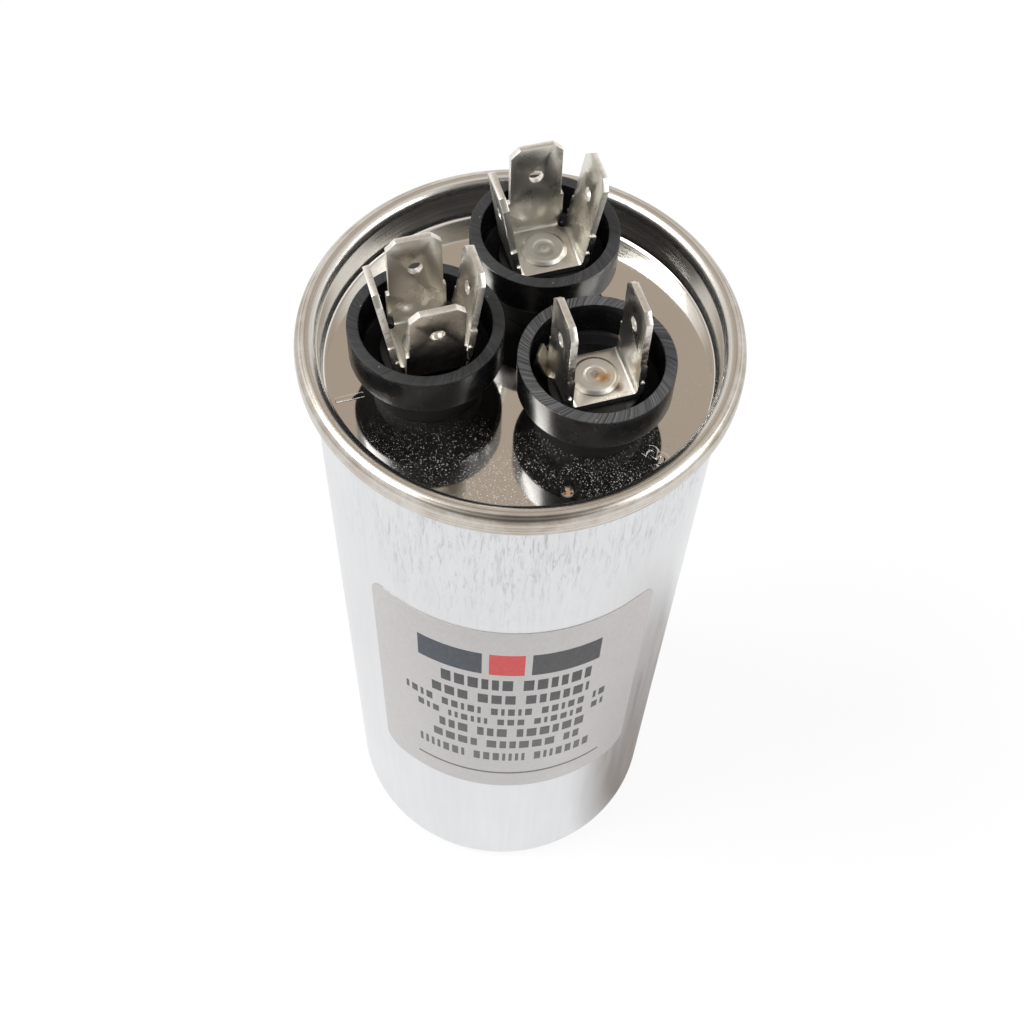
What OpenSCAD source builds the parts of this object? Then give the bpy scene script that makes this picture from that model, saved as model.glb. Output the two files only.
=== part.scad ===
// Dual motor run capacitor: a drawn aluminium can closed by a seamed tinplate lid, with three cupped terminals
// and a two-section film winding inside. Millimetres, +Z up, origin at the centre of the can's foot.
// Seen from above, the common terminal stands on -X, the compressor terminal at 60 degrees from +X
// and the fan terminal at -60 degrees. All blades are square to the X and Y axes.

/* [Can] */
// Outer diameter of the can's wall
can_d = 50; // [46:0.5:60]
// Height from the foot to the top of the rolled seam
can_h = 116; // [90:1:160]
// Thickness of the can's sheet
can_t = 0.5; // [0.4:0.05:0.7]
// Outer radius where the wall turns into the foot
foot_r = 3; // [2:0.25:4]
// How far the wall is necked in below the seam
neck_in = 0.1; // [0.05:0.05:0.3]
// Height of the slope between the wall and its neck
neck_h = 0.6; // [0.4:0.1:1.2]

/* [Lid and rolled seam] */
// Thickness of the lid's sheet
lid_t = 0.5; // [0.4:0.05:0.6]
// Depth of the lid's panel below the top of the seam
lid_depth = 5.5; // [5:0.25:8]
// Height of the rolled seam
seam_h = 3.2; // [3:0.1:4.2]
// Play between two folded layers of the seam
seam_gap = 0.1; // [0.06:0.02:0.14]
// Radius at the middle of the sheet where the panel turns up into the wall
panel_bend_r = 0.9; // [0.6:0.1:1.5]

/* [Label] */
// Width of the label, measured around the can
label_w = 43; // [30:1:60]
// Height of the label
label_h = 56; // [40:1:70]
// Height of the label's lower edge above the foot
label_z = 30.5; // [10:0.5:40]
// Thickness of the label's film
label_t = 0.08; // [0.06:0.01:0.12]
// Radius of the label's corners
label_corner_r = 3; // [1:0.5:6]
// Direction in which the middle of the label faces, in degrees from +X
label_turn = -110; // [-180:5:180]

/* [Terminal cups] */
// Outer diameter of a cup's ring
cup_d = 18; // [16:0.5:19]
// Thickness of the ring's wall
cup_wall = 1.4; // [1:0.1:1.8]
// Height from the lid's panel to the cup's rim
cup_h = 10.5; // [9.5:0.25:13]
// Height of the ring's wider outer band
cup_ring_h = 4.3; // [3:0.1:5]
// Depth of the cup's floor below the rim
cup_floor_depth = 5.6; // [5.2:0.1:5.8]
// Width of the flat ledge under the ring
cup_ledge = 0.3; // [0.2:0.1:0.5]
// Size of the bevel between the cup's wall and its floor
cup_floor_bevel = 1; // [0.6:0.1:1.2]
// Diameter of the neck that stands on the lid
cup_neck_d = 13; // [12.5:0.5:14]
// Height of the neck's straight part, below the cone that carries the ring
cup_neck_h = 3; // [2.5:0.25:3.5]
// Diameter of the boss that carries the terminal
cup_boss_d = 11; // [10:0.5:12]
// Width of the bevel on the ring's edges
cup_edge = 0.2; // [0.1:0.05:0.3]
// Shortest distance between two neighbouring cups
cup_gap = 1.9; // [1:0.1:3]
// Diameter of the cup's spigot in the lid
spigot_d = 7.8; // [7:0.2:8.4]
// Length of the spigot below the lid's sheet
spigot_drop = 0.8; // [0.5:0.1:1]

/* [Terminal blades] */
// Width of a blade
blade_w = 6.35; // [4.8:0.05:6.4]
// Thickness of the blades' sheet
blade_t = 0.8; // [0.5:0.1:1]
// Length of a blade above its shoulders
blade_len = 7.95; // [6.5:0.05:9]
// Width of a blade's root, below its shoulders
root_w = 7; // [6.6:0.1:7.4]
// Height of the shoulders above the base plate
shoulder_h = 4.65; // [3:0.05:6]
// Size of the cut corners at a blade's tip
tip_cut = 1.1; // [0.5:0.1:1.5]
// Diameter of the hole in a blade
blade_hole_d = 1.7; // [1:0.1:2]
// Distance of that hole from the blade's tip
blade_hole_drop = 4.4; // [3.5:0.1:5]
// Distance between the outer faces of two opposite blades, at their roots
terminal_span = 9.2; // [9:0.1:9.6]
// Inner radius of a blade's bend
blade_bend_r = 0.5; // [0.3:0.05:0.7]
// Radius of the relief between two neighbouring bends
relief_r = 0.6; // [0.5:0.05:0.8]
// Depth of the base plate's upper face below the cup's rim
plate_depth = 3.6; // [3.4:0.1:4]
// Outward lean of the common terminal's left, right and front blades, in degrees
common_lean = 8; // [0:1:10]
// Outward lean of the compressor terminal's left and right blades, in degrees
compressor_lean = 9; // [0:1:10]
// Outward lean of the common and compressor terminals' back blades, in degrees
back_lean = 2; // [0:1:6]
// Outward lean of the fan terminal's two blades, in degrees
fan_lean = 0; // [0:1:6]

/* [Side tab of the fan terminal] */
// Width of the side tab
side_tab_w = 2.4; // [1.8:0.1:3]
// Thickness of the side tab
side_tab_t = 0.4; // [0.3:0.05:0.5]
// Distance from the rivet's axis at which the side tab starts to bend up
side_tab_reach = 5; // [4.8:0.1:5.2]
// Gap between the tip of the side tab and the cup's wall
side_tab_gap = 0.8; // [0.6:0.1:1]
// Angle by which the side tab is bent up, in degrees
side_tab_bend = 65; // [60:1:80]
// Direction of the side tab, in degrees from +X
side_tab_turn = 145; // [140:1:155]
// Width of the side tab's eye around its hole
side_tab_eye_w = 1.4; // [1.1:0.1:1.6]
// Bend radius at the middle of the side tab's sheet
side_tab_bend_r = 0.8; // [0.5:0.1:1]
// Corner cut off the end of the side tab
side_tab_cut = 0.6; // [0.3:0.1:0.8]

/* [Rivets, seals and bushes] */
// Diameter of a rivet's shank
rivet_d = 3.2; // [2.5:0.1:3.6]
// Diameter of a rivet's upper head
rivet_head_d = 5.6; // [5:0.1:6]
// Height of a rivet's upper head
rivet_head_h = 0.45; // [0.4:0.05:0.7]
// Diameter of the hollow in a rivet's upper head
rivet_hollow_d = 2.2; // [1.5:0.1:2.6]
// Diameter of a rivet's lower head
rivet_foot_d = 5.2; // [4.5:0.1:6]
// Height of a rivet's lower head
rivet_foot_h = 0.6; // [0.5:0.1:1]
// Inner diameter of a seal
seal_bore_d = 9.2; // [8.8:0.1:9.6]
// Width of a seal's section
seal_w = 1.2; // [0.8:0.1:1.4]
// Height of a seal's section
seal_h = 0.8; // [0.6:0.1:1]
// Outer diameter of a bush
bush_d = 12; // [11:0.5:14]
// Height of a bush
bush_h = 1.8; // [1.5:0.1:2.5]
// Radial play of a shank or a spigot in its hole
hole_play = 0.1; // [0.05:0.05:0.15]

/* [Winding and inner pieces] */
// Height of the free space between the lid's panel and the winding's upper end
headroom = 14.9; // [13:0.1:20]
// Outer diameter of the winding's core tube
core_d = 10; // [9:0.5:12]
// Wall of the core tube
core_wall = 1; // [0.8:0.1:1.5]
// Height by which the core tube stands above the winding
core_rise = 1.4; // [1.2:0.1:3]
// Radial build of the fan section
fan_build = 5.5; // [5:0.25:7]
// Thickness of the film wrap between the two sections
section_wrap_t = 0.6; // [0.3:0.1:1]
// Thickness of the film wrap around the winding
outer_wrap_t = 0.4; // [0.3:0.1:0.8]
// Thickness of the metal sprayed on the winding's ends
spray_t = 0.6; // [0.4:0.1:0.8]
// Bare margin between the sprayed rings of the two sections
spray_margin = 0.6; // [0.4:0.1:1]
// Thickness of the liner between the winding and the can
liner_t = 0.9; // [0.6:0.1:1.2]
// Radial play of the liner in the can and of the winding in the liner
liner_play = 0.3; // [0.2:0.05:0.5]
// Thickness of the bottom insulator's floor
bottom_floor_t = 2; // [1.6:0.1:3]
// Height of the bottom insulator's rim
bottom_rim_h = 7; // [5:0.5:12]
// Size of the bevel that clears the can's inner bend
bottom_bevel = 2.4; // [2.2:0.1:3]
// Thickness of the interrupter plate
interrupter_t = 1.2; // [0.8:0.1:2]
// Distance from the interrupter plate to the rivets' lower heads
interrupter_drop = 2.5; // [2:0.1:4]
// Width of a lead strip
lead_w = 4; // [3:0.25:5]
// Thickness of a lead strip
lead_t = 0.3; // [0.2:0.05:0.5]
// Bend radius at the middle of a lead strip
lead_bend_r = 1; // [0.8:0.1:1.5]
// Play of a lead strip in its slot
lead_play = 0.4; // [0.2:0.1:0.6]
// Length of a lead's flat foot on the winding's end
lead_foot = 3.5; // [2:0.1:3.8]
// Length of a lead's pad beyond the rivet's axis
lead_pad = 1.8; // [1:0.1:2.5]
// Distance of a lead from the core tube or from the edge of its pad
lead_gap = 0.5; // [0.4:0.1:0.8]

/* [Hidden] */
$fn = 96;

tin = [0.78, 0.75, 0.70];
bare_aluminium = [0.86, 0.87, 0.88];
label_grey = [0.78, 0.76, 0.75];
black_plastic = [0.09, 0.09, 0.10];
bright_nickel = [0.74, 0.72, 0.66];
seal_black = [0.14, 0.14, 0.15];
white_plastic = [0.90, 0.89, 0.85];
fibre_brown = [0.60, 0.42, 0.26];
copper_tin = [0.80, 0.66, 0.50];
board_tan = [0.76, 0.66, 0.50];
film_silver = [0.72, 0.74, 0.77];
film_clear = [0.88, 0.90, 0.92];
zinc_grey = [0.58, 0.59, 0.60];

// Directions of the three terminals around the lid
common_at = 180;
compressor_at = 60;
fan_at = -60;
terminal_circle_r = (cup_d + cup_gap) / sqrt(3);

// Folded layers of the rolled seam, from the inside to the outside, at the middle of each sheet
can_r = can_d / 2;
can_ri = can_r - can_t;
can_neck_r = can_r - neck_in;
chuck_mid = can_neck_r - can_t - lid_t / 2;
wall_mid = can_neck_r - can_t / 2;
lid_hook_mid = can_neck_r + seam_gap + lid_t / 2;
can_hook_mid = can_neck_r + 2 * seam_gap + lid_t + can_t / 2;
skirt_mid = can_neck_r + 3 * seam_gap + 1.5 * lid_t + can_t;
lid_roll_r = (skirt_mid - chuck_mid) / 2;
can_roll_r = (can_hook_mid - wall_mid) / 2;
hook_roll_r = (skirt_mid - lid_hook_mid) / 2;
roll_z = can_h - lid_roll_r - lid_t / 2;
can_roll_z = roll_z - seam_gap;
hook_z = can_h - seam_h + hook_roll_r + lid_t / 2;
neck_z = can_h - seam_h;
roll_steps = 14;
bend_steps = 7;

// Heights above the foot
panel_z = can_h - lid_depth;
lid_under = panel_z - lid_t;
bush_under = lid_under - bush_h;
rivet_under = bush_under - rivet_foot_h;
interrupter_z = rivet_under - interrupter_drop - interrupter_t;
winding_top = panel_z - headroom;
floor_top = can_t + bottom_floor_t;
winding_foot = floor_top + spray_t;

// Heights above the lid's panel
boss_z = cup_h - plate_depth - blade_t;
plate_top = cup_h - plate_depth;
ring_z = cup_h - cup_ring_h;
cup_floor_z = cup_h - cup_floor_depth;

// Radii of the cups, rivets and bushes
cup_ri = cup_d / 2 - cup_wall;
shank_r = rivet_d / 2;
shank_hole_r = shank_r + hole_play;
spigot_r = spigot_d / 2;
seal_ri = seal_bore_d / 2;
seal_ro = seal_ri + seal_w;

// Radii of the winding and what surrounds it
liner_ro = can_ri - liner_play;
liner_ri = liner_ro - liner_t;
outer_wrap_ro = liner_ri - liner_play;
winding_ro = outer_wrap_ro - outer_wrap_t;
core_r = core_d / 2;
fan_ro = core_r + fan_build;
compressor_ri = fan_ro + section_wrap_t;

// A long overlap for cuts that run out through a face
past = 1;

// Points of an arc about c from angle a0 to a1
function arc(c, r, a0, a1, n) =
    [for (i = [0:n]) let (a = a0 + (a1 - a0) * i / n) c + r * [cos(a), sin(a)]];
function unit(v) = v / norm(v);
// Direction of a path before and after its point i
function before(p, i) = unit(i > 0 ? p[i] - p[i - 1] : p[1] - p[0]);
function after(p, i) = unit(i < len(p) - 1 ? p[i + 1] - p[i] : p[i] - p[i - 1]);
// A path moved sideways by d, with its corners kept sharp
function moved(p, d) =
    [for (i = [0:len(p) - 1])
        let (u = before(p, i), m = unit(u + after(p, i))) p[i] + d * [-m[1], m[0]] / (u * m)];
function reversed(p) = [for (i = [len(p) - 1:-1:0]) p[i]];

// The section of a sheet of thickness t whose middle follows a path
module sheet(path, t) polygon(concat(moved(path, t / 2), reversed(moved(path, -t / 2))));

// A bent strip: the sheet's section in the X-Z plane, w wide along Y
module strip(path, t, w) rotate([90, 0, 0]) linear_extrude(w, center = true) sheet(path, t);

// A ring between two radii, from height z0 to z1
module ring(ri, ro, z0, z1) translate([0, 0, z0]) difference() {
    cylinder(r = ro, h = z1 - z0);
    translate([0, 0, -past]) cylinder(r = ri, h = z1 - z0 + 2 * past);
}

// Moves its children to a terminal's axis on top of the lid's panel, unturned
module on_lid(at) translate([terminal_circle_r * cos(at), terminal_circle_r * sin(at), panel_z]) children();

function can_path() = concat(
    [[0, can_t / 2]],
    arc([can_r - foot_r, foot_r], foot_r - can_t / 2, -90, 0, bend_steps),
    [[can_r - can_t / 2, neck_z - neck_h], [wall_mid, neck_z]],
    arc([wall_mid + can_roll_r, can_roll_z], can_roll_r, 180, 0, roll_steps),
    [[can_hook_mid, hook_z]]);

module can() color(bare_aluminium) rotate_extrude() sheet(can_path(), can_t);

function lid_path() = concat(
    [[0, panel_z - lid_t / 2]],
    arc([chuck_mid - panel_bend_r, panel_z - lid_t / 2 + panel_bend_r], panel_bend_r, -90, 0, bend_steps),
    arc([chuck_mid + lid_roll_r, roll_z], lid_roll_r, 180, 0, roll_steps),
    arc([skirt_mid - hook_roll_r, hook_z], hook_roll_r, 0, -180, roll_steps),
    [[lid_hook_mid, can_roll_z]]);

module lid() color(tin) difference() {
    rotate_extrude() sheet(lid_path(), lid_t);
    for (at = [common_at, compressor_at, fan_at])
        on_lid(at) translate([0, 0, -lid_t - past]) cylinder(r = spigot_r + hole_play, h = lid_t + 2 * past);
}

// The label's outline as seen from in front, w wide
module label_outline(w) {
    x = w / 2 - label_corner_r;
    z = label_h / 2 - label_corner_r;
    square([w, 2 * z], center = true);
    square([2 * x, label_h], center = true);
    for (i = [-1, 1], j = [-1, 1]) translate([i * x, j * z]) circle(label_corner_r);
}

module label() color(label_grey) {
    half_turn = label_w / can_r / 2 * 180 / PI;
    rotate([0, 0, label_turn + 90]) intersection() {
        ring(can_r, can_r + label_t, label_z - past, label_z + label_h + past);
        translate([0, 0, label_z + label_h / 2]) rotate([90, 0, 0]) linear_extrude(can_d)
            label_outline(2 * can_r * sin(half_turn));
    }
}

// A moulded cup: spigot and seal groove below, neck, cone, ring, floor and boss
module cup() rotate_extrude() polygon([
    [shank_hole_r, -lid_t - spigot_drop], [spigot_r, -lid_t - spigot_drop], [spigot_r, 0],
    [seal_ri, 0], [seal_ri, seal_h], [seal_ro, seal_h], [seal_ro, 0],
    [cup_neck_d / 2, 0], [cup_neck_d / 2, cup_neck_h],
    [cup_d / 2 - cup_ledge, ring_z],
    [cup_d / 2 - cup_edge, ring_z], [cup_d / 2, ring_z + cup_edge],
    [cup_d / 2, cup_h - cup_edge], [cup_d / 2 - cup_edge, cup_h],
    [cup_ri + cup_edge, cup_h], [cup_ri, cup_h - cup_edge],
    [cup_ri, cup_floor_z + cup_floor_bevel],
    [cup_ri - cup_floor_bevel, cup_floor_z], [cup_boss_d / 2, cup_floor_z], [cup_boss_d / 2, boss_z],
    [shank_hole_r, boss_z]]);

module cup_common() color(black_plastic) on_lid(common_at) cup();
module cup_compressor() color(black_plastic) on_lid(compressor_at) cup();

// The fan cup's boss has a pocket for the eye and the strip of the side tab
module cup_fan() color(black_plastic) on_lid(fan_at) difference() {
    cup();
    translate([0, 0, boss_z - side_tab_t]) {
        cylinder(r = side_tab_eye_r + hole_play, h = side_tab_t + past);
        rotate([0, 0, side_tab_turn]) translate([0, -side_tab_w / 2 - hole_play, 0])
            cube([cup_boss_d / 2 + past, side_tab_w + 2 * hole_play, side_tab_t + past]);
    }
}

// Where a blade's bend starts, and the radius of its bend at the middle of the sheet
bend_start = terminal_span / 2 - blade_t - blade_bend_r;
bend_mid_r = blade_bend_r + blade_t / 2;
// Length of a blade's flat part, above its bend
leg_len = shoulder_h - blade_bend_r + blade_len;

// Where a blade that leans outward leaves its bend
function leg_start(lean) = [bend_start + bend_mid_r * cos(lean), bend_mid_r * (1 - sin(lean))];
function arm_path(lean) = concat(
    [[0, 0]],
    arc([bend_start, bend_mid_r], bend_mid_r, -90, -lean, bend_steps),
    [leg_start(lean) + leg_len * [sin(lean), cos(lean)]]);

// Moves its children into a leg's own frame: Z along the leg, X out of its outer face
module on_leg(lean) translate([leg_start(lean)[0], 0, leg_start(lean)[1]]) rotate([0, lean, 0]) children();

// What the die cuts from a leg on one side: the shoulder and the tip's corner
module leg_trim() {
    deep = blade_t + 2 * past;
    translate([-deep / 2, blade_w / 2, leg_len - blade_len]) cube([deep, root_w, blade_len + past]);
    translate([0, blade_w / 2 - tip_cut, leg_len]) rotate([45, 0, 0])
        translate([-deep / 2, 0, -root_w]) cube([deep, root_w, 2 * root_w]);
}

// One arm of a terminal, from the middle of its plate to the tip of its blade
module arm(lean) difference() {
    strip(arm_path(lean), blade_t, root_w);
    on_leg(lean) {
        leg_trim();
        mirror([0, 1, 0]) leg_trim();
        translate([0, 0, leg_len - blade_hole_drop]) rotate([0, 90, 0])
            cylinder(d = blade_hole_d, h = blade_t + 2 * past, center = true);
    }
}

// A stamped terminal. Each arm is [its direction, its lean]; a relief parts two neighbouring bends.
module terminal(arms, reliefs) color(bright_nickel)
    translate([0, 0, plate_top - blade_t / 2]) difference() {
        union() {
            cube([root_w, root_w, blade_t], center = true);
            for (a = arms) rotate([0, 0, a[0]]) arm(a[1]);
        }
        cylinder(r = shank_hole_r, h = blade_t + past, center = true);
        for (a = reliefs) rotate([0, 0, a]) translate([root_w / sqrt(2), 0, 0])
            cylinder(r = relief_r, h = blade_t + 2 * bend_mid_r, center = true);
    }

module terminal_common() on_lid(common_at) terminal(
    [[0, common_lean], [90, back_lean], [180, common_lean], [270, common_lean]], [45, 135, 225, 315]);
module terminal_compressor() on_lid(compressor_at) terminal(
    [[0, compressor_lean], [90, back_lean], [180, compressor_lean]], [45, 135]);
module terminal_fan() on_lid(fan_at) terminal([[0, fan_lean], [180, fan_lean]], []);

// The side tab's eye, and the length of its leg, which ends short of the cup's wall
side_tab_eye_r = rivet_d / 2 + side_tab_eye_w;
side_tab_len = (cup_ri - side_tab_gap - side_tab_reach - side_tab_bend_r * sin(side_tab_bend))
    / cos(side_tab_bend);

function side_tab_path() =
    let (bend = arc([side_tab_reach, side_tab_bend_r], side_tab_bend_r, -90, side_tab_bend - 90, bend_steps))
    concat([[0, 0]], bend, [bend[bend_steps] + side_tab_len * [cos(side_tab_bend), sin(side_tab_bend)]]);

module side_tab_fan() color(bright_nickel) on_lid(fan_at)
    translate([0, 0, boss_z - side_tab_t / 2]) rotate([0, 0, side_tab_turn]) difference() {
        union() {
            cylinder(r = side_tab_eye_r, h = side_tab_t, center = true);
            strip(side_tab_path(), side_tab_t, side_tab_w);
        }
        cylinder(r = shank_hole_r, h = side_tab_t + past, center = true);
        tip = side_tab_path()[bend_steps + 2];
        translate([tip[0], side_tab_w / 2 - side_tab_cut, tip[1]]) rotate([0, 90 - side_tab_bend, 0])
            rotate([45, 0, 0]) translate([-side_tab_w, 0, -side_tab_w]) cube(2 * side_tab_w);
    }

// A rivet: a spun head with a hollow above the plate, a shank, and a flat head under the bush
module rivet() rotate_extrude() {
    head_r = rivet_head_d / 2;
    hollow_r = rivet_hollow_d / 2;
    foot = -lid_t - bush_h;
    polygon([
        [0, foot - rivet_foot_h], [rivet_foot_d / 2, foot - rivet_foot_h], [rivet_foot_d / 2, foot],
        [shank_r, foot], [shank_r, plate_top], [head_r, plate_top], [head_r, plate_top + rivet_head_h / 4],
        [head_r - rivet_head_h, plate_top + rivet_head_h],
        [hollow_r + rivet_head_h / 2, plate_top + rivet_head_h],
        [hollow_r, plate_top + rivet_head_h / 2], [0, plate_top + rivet_head_h / 4]]);
}

module rivet_common() color(bright_nickel) on_lid(common_at) rivet();
module rivet_compressor() color(bright_nickel) on_lid(compressor_at) rivet();
module rivet_fan() color(bright_nickel) on_lid(fan_at) rivet();

module seal() color(seal_black) ring(seal_ri, seal_ro, 0, seal_h);
module seal_common() on_lid(common_at) seal();
module seal_compressor() on_lid(compressor_at) seal();
module seal_fan() on_lid(fan_at) seal();

// A bush: a thick washer under the lid with a seat for the cup's spigot
module bush() color(white_plastic) translate([0, 0, -lid_t - bush_h]) difference() {
    ring(shank_hole_r, bush_d / 2, 0, bush_h);
    seat = spigot_drop + hole_play;
    translate([0, 0, bush_h - seat]) cylinder(r = spigot_r + hole_play, h = seat + past);
}

module bush_common() on_lid(common_at) bush();
module bush_compressor() on_lid(compressor_at) bush();
module bush_fan() on_lid(fan_at) bush();

// Where each lead rises, measured from the can's axis towards its terminal
common_riser = 0;
fan_riser = core_r + lead_gap + lead_foot + lead_bend_r;
compressor_riser = terminal_circle_r + lead_pad + lead_bend_r + lead_gap;
// Distance from the can's axis to the end of the common lead's foot, under the winding
common_foot_end = core_r + lead_foot;
pad_z = rivet_under - lead_t / 2;

// A lead's path: a foot, a riser, and a pad under its rivet
function lead_path(foot_end, foot_z, riser, pad_end) =
    let (s = sign(foot_end - riser), p = sign(pad_end - riser), r = lead_bend_r)
    concat(
        [[foot_end, foot_z]],
        arc([riser + s * r, foot_z + r], r, -90, -90 - s * 90, bend_steps),
        arc([riser + p * r, pad_z - r], r, 90 + p * 90, 90, bend_steps),
        [[pad_end, pad_z]]);

module lead(at, foot_end, foot_z, riser, pad_end) color(copper_tin) rotate([0, 0, at])
    strip(lead_path(foot_end, foot_z, riser, pad_end), lead_t, lead_w);

module lead_common() lead(common_at, common_foot_end, floor_top - lead_t / 2, common_riser,
    terminal_circle_r + lead_pad);
module lead_fan() lead(fan_at, core_r + lead_gap, winding_top + spray_t + lead_t / 2,
    fan_riser, terminal_circle_r + lead_pad);
module lead_compressor() lead(compressor_at, compressor_riser + lead_bend_r + lead_foot,
    winding_top + spray_t + lead_t / 2, compressor_riser, terminal_circle_r - lead_pad);

// A fibre disc on top of the liner. Each lead passes through a slot of its own.
module interrupter_plate() color(fibre_brown) difference() {
    translate([0, 0, interrupter_z]) cylinder(r = liner_ro, h = interrupter_t);
    for (slot = [[common_at, common_riser], [fan_at, fan_riser], [compressor_at, compressor_riser]])
        rotate([0, 0, slot[0]]) translate([slot[1], 0, interrupter_z + interrupter_t / 2])
            cube([lead_t + 2 * lead_play, lead_w + 2 * lead_play, interrupter_t + past], center = true);
}

module liner() color(board_tan) ring(liner_ri, liner_ro, can_t + bottom_rim_h, interrupter_z);

// A shallow tray between the winding and the can's floor, with a slot for the common lead's foot
module bottom_insulator() color(white_plastic) difference() {
    rotate_extrude() polygon([
        [0, can_t], [liner_ro - bottom_bevel, can_t], [liner_ro, can_t + bottom_bevel],
        [liner_ro, can_t + bottom_rim_h], [liner_ri, can_t + bottom_rim_h], [liner_ri, floor_top],
        [0, floor_top]]);
    rotate([0, 0, common_at]) translate([-core_r / 2, -lead_w / 2 - lead_play, floor_top - lead_t])
        cube([common_foot_end + lead_play + core_r / 2, lead_w + 2 * lead_play, lead_t + past]);
}

module winding_core() color(white_plastic)
    ring(core_r - core_wall, core_r, floor_top, winding_top + core_rise);

module fan_winding() color(film_silver) ring(core_r, fan_ro, winding_foot, winding_top);
module section_wrap() color(film_clear) ring(fan_ro, compressor_ri, winding_foot, winding_top);
module compressor_winding() color(film_silver) ring(compressor_ri, winding_ro, winding_foot, winding_top);
module outer_wrap() color(film_clear) ring(winding_ro, outer_wrap_ro, floor_top, winding_top);

// Sprayed zinc: one disc under both sections, and one ring on top of each
module spray_common() color(zinc_grey) ring(core_r, winding_ro, floor_top, winding_foot);
module spray_fan() color(zinc_grey) ring(core_r, fan_ro, winding_top, winding_top + spray_t);
module spray_compressor() color(zinc_grey)
    ring(compressor_ri + spray_margin, winding_ro, winding_top, winding_top + spray_t);

can();
lid();
label();
cup_common();
cup_compressor();
cup_fan();
terminal_common();
terminal_compressor();
terminal_fan();
side_tab_fan();
rivet_common();
rivet_compressor();
rivet_fan();
seal_common();
seal_compressor();
seal_fan();
bush_common();
bush_compressor();
bush_fan();
interrupter_plate();
lead_common();
lead_compressor();
lead_fan();
liner();
bottom_insulator();
winding_core();
fan_winding();
section_wrap();
compressor_winding();
outer_wrap();
spray_common();
spray_fan();
spray_compressor();
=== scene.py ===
"""Motor run capacitor: the finished pieces, their materials and the stage."""

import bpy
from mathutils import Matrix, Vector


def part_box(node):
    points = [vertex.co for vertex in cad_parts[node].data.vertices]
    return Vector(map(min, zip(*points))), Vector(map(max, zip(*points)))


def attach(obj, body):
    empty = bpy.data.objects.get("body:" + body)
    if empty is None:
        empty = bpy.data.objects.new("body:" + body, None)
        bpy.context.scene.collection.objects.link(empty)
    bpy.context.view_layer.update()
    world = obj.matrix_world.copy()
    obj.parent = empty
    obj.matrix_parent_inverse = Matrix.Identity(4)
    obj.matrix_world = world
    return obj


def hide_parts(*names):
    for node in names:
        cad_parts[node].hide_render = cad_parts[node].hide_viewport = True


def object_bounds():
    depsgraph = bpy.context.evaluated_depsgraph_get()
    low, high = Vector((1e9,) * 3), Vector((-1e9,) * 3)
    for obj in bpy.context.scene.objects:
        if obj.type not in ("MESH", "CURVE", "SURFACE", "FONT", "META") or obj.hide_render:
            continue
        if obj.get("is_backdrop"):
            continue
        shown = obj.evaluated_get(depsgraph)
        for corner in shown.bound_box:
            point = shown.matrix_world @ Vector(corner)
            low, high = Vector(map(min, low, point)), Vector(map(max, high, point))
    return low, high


bl_info = {
    "name": "Motor Run Capacitor",
    "version": (1, 0, 0),
    "blender": (4, 5, 0),
    "location": "View3D > Sidebar > Capacitor",
    "description": "Builds the can, lid, terminals, label and stage of a dual motor run capacitor",
    "category": "Add Mesh",
}

import math
import random

import bpy
from mathutils import Matrix, Vector

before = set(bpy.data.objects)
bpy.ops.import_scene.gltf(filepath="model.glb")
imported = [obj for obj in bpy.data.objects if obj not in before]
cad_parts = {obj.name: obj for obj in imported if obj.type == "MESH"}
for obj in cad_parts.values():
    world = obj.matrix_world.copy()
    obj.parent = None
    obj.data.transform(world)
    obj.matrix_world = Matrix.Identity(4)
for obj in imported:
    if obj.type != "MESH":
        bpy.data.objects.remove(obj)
CAD_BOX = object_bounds()

MM = 0.001
TERMINALS = ("common", "compressor", "fan")
BLADE_SHEET = 0.8 * MM
LID_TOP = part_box("lid")[1].z
BOSS_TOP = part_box("terminal_fan")[0].z
PLATE_TOP = BOSS_TOP + BLADE_SHEET
CUP_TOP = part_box("cup_common")[1].z


def cup_centre(name):
    """The axis of one terminal, at the level of its cup's rim."""
    low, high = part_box("cup_" + name)
    return Vector(((low.x + high.x) / 2, (low.y + high.y) / 2, high.z))


# ---------------------------------------------------------------- sizes and colours


def length(name, text, default, low=0.0, high=1.0):
    return bpy.props.FloatProperty(name=name, description=text, default=default, min=low, max=high,
                                   subtype="DISTANCE", unit="LENGTH", precision=5)


def colour(name, text, default):
    return bpy.props.FloatVectorProperty(name=name, description=text, default=default, size=3,
                                         min=0.0, max=1.0, subtype="COLOR")


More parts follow.
